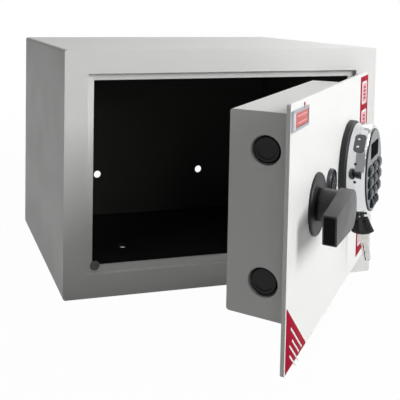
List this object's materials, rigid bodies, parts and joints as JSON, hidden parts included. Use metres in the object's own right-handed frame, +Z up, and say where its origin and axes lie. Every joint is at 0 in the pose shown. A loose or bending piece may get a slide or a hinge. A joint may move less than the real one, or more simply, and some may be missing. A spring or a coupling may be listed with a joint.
{
  "type": "combination safe",
  "caption": "Small white box safe with a swung door on hidden swan-neck hinges, round bolts, a wing handle, a round electronic keypad, an override lock and a hanging key.",
  "frame": {"origin": "centre of the flat underside of the body", "axes": "+Z up, +Y from the door towards the back wall, +X towards the hinged side of the door"},
  "size_m": [0.35, 0.4669, 0.25],
  "materials": {
    "white_powder_coat": "fine matt powder coat",
    "mat_rubber": "matt, fine ribs",
    "grey_rubber": "matt",
    "bare_steel": "zinc plated, satin",
    "spring_steel": "blackened",
    "brass": "satin",
    "black_bolt": "black oxide, satin",
    "dark_plastic": "fine grain",
    "grey_plastic": "fine grain, satin",
    "black_plastic": "fine grain",
    "coil_tape": "wound tape",
    "nickel": "nickel plated",
    "black_plug": "satin",
    "chromed_ring": "bright",
    "silver_face": "satin silver",
    "display_window": "glossy",
    "circuit_board": "solder mask",
    "battery_sleeve": "printed sleeve, left plain",
    "red_button": "glossy",
    "key_caps": "glossy dark teal"
  },
  "bodies": {
    "body": {"body_shell": "white_powder_coat", "back_panel": "white_powder_coat", "door_frame": "white_powder_coat", "floor_mat": "mat_rubber", "frame_bumper": "grey_rubber", "hinge_brackets": "bare_steel", "hinge_pins": "bare_steel", "hinge_clips": "spring_steel"},
    "door": {"door_plate": "white_powder_coat", "door_box": "white_powder_coat", "box_posts": "bare_steel", "box_screws": "spring_steel", "hinge_arm_upper": "bare_steel", "hinge_arm_lower": "bare_steel", "hinge_bushes": "brass", "bolt_guides": "bare_steel", "handle_rosette": "dark_plastic", "spindle_bush": "brass", "solenoid_frame": "bare_steel", "solenoid_coil": "coil_tape", "override_barrel": "nickel", "keypad_base": "black_plastic", "keypad_ring": "chromed_ring", "keypad_face": "silver_face", "lcd_window": "display_window", "keypad_board": "circuit_board", "contact_pad": "dark_plastic", "control_board": "circuit_board", "battery_tray": "black_plastic", "batteries": "battery_sleeve", "badge_frame": "chromed_ring", "key_pin": "bare_steel"},
    "bolt_work": {"bolt_upper": "black_bolt", "bolt_lower": "black_bolt", "bolt_carriage": "bare_steel", "bolt_screws": "spring_steel"},
    "handle": {"handle_knob": "grey_plastic", "handle_spindle": "bare_steel", "cam_arm": "bare_steel", "spindle_clip": "spring_steel"},
    "plunger": {"solenoid_plunger": "bare_steel"},
    "override": {"override_plug": "black_plug", "override_tail": "bare_steel"},
    "cover": {"battery_cover": "black_plastic"},
    "reset": {"reset_button": "red_button"},
    "hanging_key": {"key_bow": "black_plastic", "key_blade": "nickel"},
    "key_1_cap": {"key_1": "key_caps"},
    "key_2_cap": {"key_2": "key_caps"},
    "key_3_cap": {"key_3": "key_caps"},
    "key_4_cap": {"key_4": "key_caps"},
    "key_5_cap": {"key_5": "key_caps"},
    "key_6_cap": {"key_6": "key_caps"},
    "key_7_cap": {"key_7": "key_caps"},
    "key_8_cap": {"key_8": "key_caps"},
    "key_9_cap": {"key_9": "key_caps"},
    "key_clear_cap": {"key_clear": "key_caps"},
    "key_0_cap": {"key_0": "key_caps"},
    "key_enter_cap": {"key_enter": "key_caps"}
  },
  "joints": [
    {"name": "door_swing", "type": "hinge", "parent": "body", "child": "door", "pos_m": [0.164, -0.114, 0.125], "axis": [0, 0, 1], "range_deg": [-43.5, 50]},
    {"name": "bolt_slide", "type": "slide", "parent": "door", "child": "bolt_work", "axis": [-0.7254, -0.6884, 0], "range_m": [0, 0.018]},
    {"name": "handle_turn", "type": "hinge", "parent": "door", "child": "handle", "pos_m": [0.01705, -0.29618, 0.133], "axis": [0.6884, -0.7254, 0], "range_deg": [0, 60]},
    {"name": "plunger_slide", "type": "slide", "parent": "door", "child": "plunger", "axis": [0, 0, 1], "range_m": [0, 0.006]},
    {"name": "override_turn", "type": "hinge", "parent": "door", "child": "override", "pos_m": [0.03665, -0.25001, 0.1395], "axis": [0.6884, -0.7254, 0], "range_deg": [0, 90]},
    {"name": "cover_slide", "type": "slide", "parent": "door", "child": "cover", "axis": [0, 0, 1], "range_m": [0, 0.03]},
    {"name": "reset_press", "type": "slide", "parent": "door", "child": "reset", "axis": [0.6884, -0.7254, 0], "range_m": [0, 0.001], "stiffness_N_per_m": 400, "springref_m": -0.0005},
    {"name": "key_swing", "type": "hinge", "parent": "door", "child": "hanging_key", "pos_m": [0.10184, -0.20539, 0.0929], "axis": [-0.7254, -0.6884, 0], "range_deg": [-13, 25]},
    {"name": "key_1_press", "type": "slide", "parent": "door", "child": "key_1_cap", "axis": [-0.6884, 0.7254, 0], "range_m": [0, 0.001], "stiffness_N_per_m": 400, "springref_m": -0.0005},
    {"name": "key_2_press", "type": "slide", "parent": "door", "child": "key_2_cap", "axis": [-0.6884, 0.7254, 0], "range_m": [0, 0.001], "stiffness_N_per_m": 400, "springref_m": -0.0005},
    {"name": "key_3_press", "type": "slide", "parent": "door", "child": "key_3_cap", "axis": [-0.6884, 0.7254, 0], "range_m": [0, 0.001], "stiffness_N_per_m": 400, "springref_m": -0.0005},
    {"name": "key_4_press", "type": "slide", "parent": "door", "child": "key_4_cap", "axis": [-0.6884, 0.7254, 0], "range_m": [0, 0.001], "stiffness_N_per_m": 400, "springref_m": -0.0005},
    {"name": "key_5_press", "type": "slide", "parent": "door", "child": "key_5_cap", "axis": [-0.6884, 0.7254, 0], "range_m": [0, 0.001], "stiffness_N_per_m": 400, "springref_m": -0.0005},
    {"name": "key_6_press", "type": "slide", "parent": "door", "child": "key_6_cap", "axis": [-0.6884, 0.7254, 0], "range_m": [0, 0.001], "stiffness_N_per_m": 400, "springref_m": -0.0005},
    {"name": "key_7_press", "type": "slide", "parent": "door", "child": "key_7_cap", "axis": [-0.6884, 0.7254, 0], "range_m": [0, 0.001], "stiffness_N_per_m": 400, "springref_m": -0.0005},
    {"name": "key_8_press", "type": "slide", "parent": "door", "child": "key_8_cap", "axis": [-0.6884, 0.7254, 0], "range_m": [0, 0.001], "stiffness_N_per_m": 400, "springref_m": -0.0005},
    {"name": "key_9_press", "type": "slide", "parent": "door", "child": "key_9_cap", "axis": [-0.6884, 0.7254, 0], "range_m": [0, 0.001], "stiffness_N_per_m": 400, "springref_m": -0.0005},
    {"name": "key_clear_press", "type": "slide", "parent": "door", "child": "key_clear_cap", "axis": [-0.6884, 0.7254, 0], "range_m": [0, 0.001], "stiffness_N_per_m": 400, "springref_m": -0.0005},
    {"name": "key_0_press", "type": "slide", "parent": "door", "child": "key_0_cap", "axis": [-0.6884, 0.7254, 0], "range_m": [0, 0.001], "stiffness_N_per_m": 400, "springref_m": -0.0005},
    {"name": "key_enter_press", "type": "slide", "parent": "door", "child": "key_enter_cap", "axis": [-0.6884, 0.7254, 0], "range_m": [0, 0.001], "stiffness_N_per_m": 400, "springref_m": -0.0005}
  ],
  "couplings": [
    {"joint": "handle_turn", "follows": "bolt_slide", "rad_per_m": 58.17},
    {"joint": "plunger_slide", "follows": "bolt_slide", "ratio": 0.3333}
  ]
}
